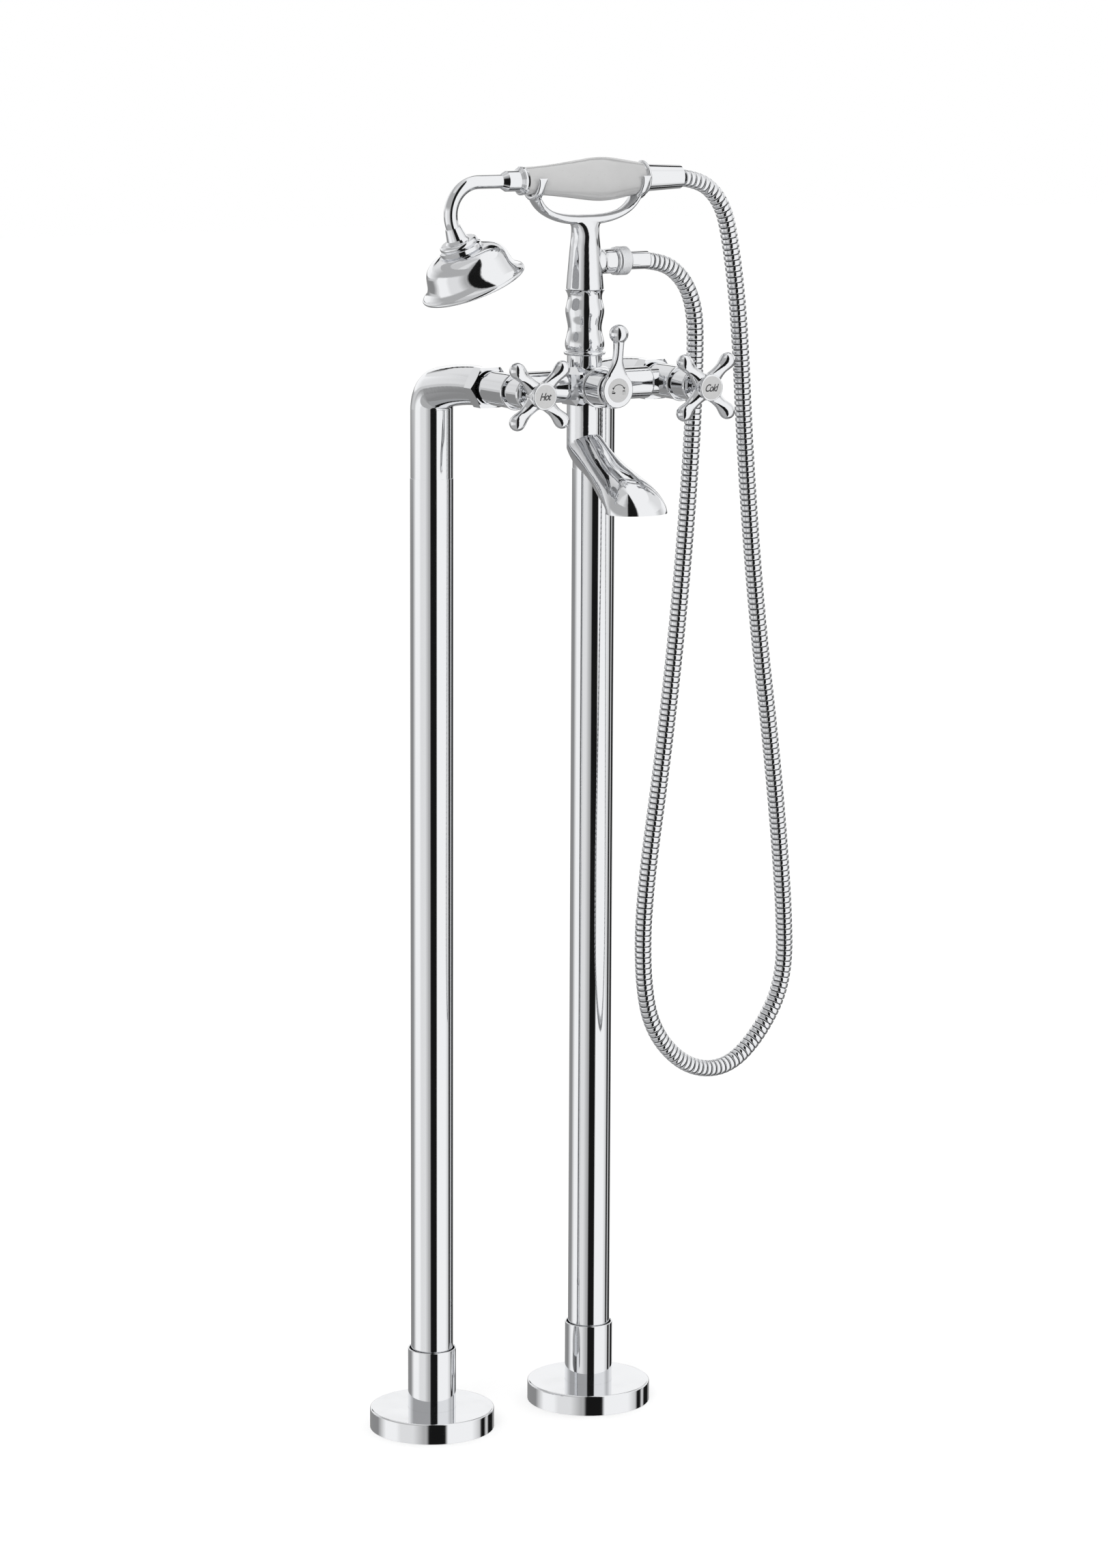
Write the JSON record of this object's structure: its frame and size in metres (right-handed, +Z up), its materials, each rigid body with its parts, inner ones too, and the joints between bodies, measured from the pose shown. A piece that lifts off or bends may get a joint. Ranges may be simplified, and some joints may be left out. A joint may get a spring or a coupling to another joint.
{
  "type": "floor standing bath filler",
  "caption": "Floor standing bath and shower mixer on two supply legs, with cross-handle taps, a diverter lever, a curved spout and a cradled hand shower on a metal hose.",
  "frame": {"origin": "on the floor, midway between the two legs", "axes": "+Z up; +X from the hot leg towards the cold leg; -Y forward, the way the taps, lever and spout face"},
  "size_m": [0.3383, 0.2558, 1.0347],
  "materials": {
    "bare_brass": "machined",
    "chromed_brass": "polished chrome plate over brass",
    "copper_pipe": "drawn copper water pipe",
    "hose_metal": "chromed double-lock metal hose",
    "index_enamel": "white enamelled disc",
    "porcelain": "glazed, light grey-white",
    "rubber": "black sealing rubber",
    "stainless": "stainless screw"
  },
  "bodies": {
    "stand": {"collar_seals": "rubber", "cradle": "chromed_brass", "diverter_cartridge": "bare_brass", "diverter_sleeve": "chromed_brass", "floor_flange_cold": "chromed_brass", "floor_flange_hot": "chromed_brass", "floor_plate_cold": "bare_brass", "floor_plate_hot": "bare_brass", "height_collar_cold": "chromed_brass", "height_collar_hot": "chromed_brass", "hose": "hose_metal", "hose_ferrule": "chromed_brass", "hose_nut": "chromed_brass", "hose_washer": "rubber", "mixer_body": "chromed_brass", "riser_column": "chromed_brass", "spout": "chromed_brass", "standpipe_cold": "chromed_brass", "standpipe_hot": "chromed_brass", "supply_pipe_cold": "copper_pipe", "supply_pipe_hot": "copper_pipe", "union_fitting_cold": "chromed_brass", "union_fitting_hot": "chromed_brass", "upper_bend_cold": "chromed_brass", "upper_bend_hot": "chromed_brass", "valve_bonnet_cold": "chromed_brass", "valve_bonnet_hot": "chromed_brass", "valve_cartridge_cold": "bare_brass", "valve_cartridge_hot": "bare_brass"},
    "hot_tap": {"cross_handle_hot": "chromed_brass", "handle_screw_hot": "stainless", "index_disc_hot": "index_enamel", "valve_spindle_hot": "bare_brass"},
    "cold_tap": {"cross_handle_cold": "chromed_brass", "handle_screw_cold": "stainless", "index_disc_cold": "index_enamel", "valve_spindle_cold": "bare_brass"},
    "diverter": {"diverter_lever": "chromed_brass", "diverter_screw": "stainless", "diverter_index": "index_enamel", "diverter_spindle": "bare_brass"},
    "hand_shower": {"grip": "porcelain", "inner_tube": "bare_brass", "front_collar": "chromed_brass", "rear_collar": "chromed_brass", "shower_arm": "chromed_brass", "rose_neck": "chromed_brass", "rose_bell": "chromed_brass", "spray_plate": "chromed_brass", "cone_nut": "chromed_brass", "hand_washer": "rubber"}
  },
  "joints": [
    {"name": "hot_tap_turn", "type": "hinge", "parent": "stand", "child": "hot_tap", "pos_m": [-0.075, -0.16, 0.859], "axis": [0, -1, 0], "range_deg": [0, 90]},
    {"name": "cold_tap_turn", "type": "hinge", "parent": "stand", "child": "cold_tap", "pos_m": [0.075, -0.16, 0.859], "axis": [0, 1, 0], "range_deg": [0, 90]},
    {"name": "diverter_turn", "type": "hinge", "parent": "stand", "child": "diverter", "pos_m": [0, -0.155, 0.859], "axis": [0, -1, 0], "range_deg": [-45, 45]},
    {"name": "hand_shower_lift", "type": "slide", "parent": "stand", "child": "hand_shower", "axis": [0, 0, 1], "range_m": [0, 0.04], "deforming": ["hose"]}
  ]
}
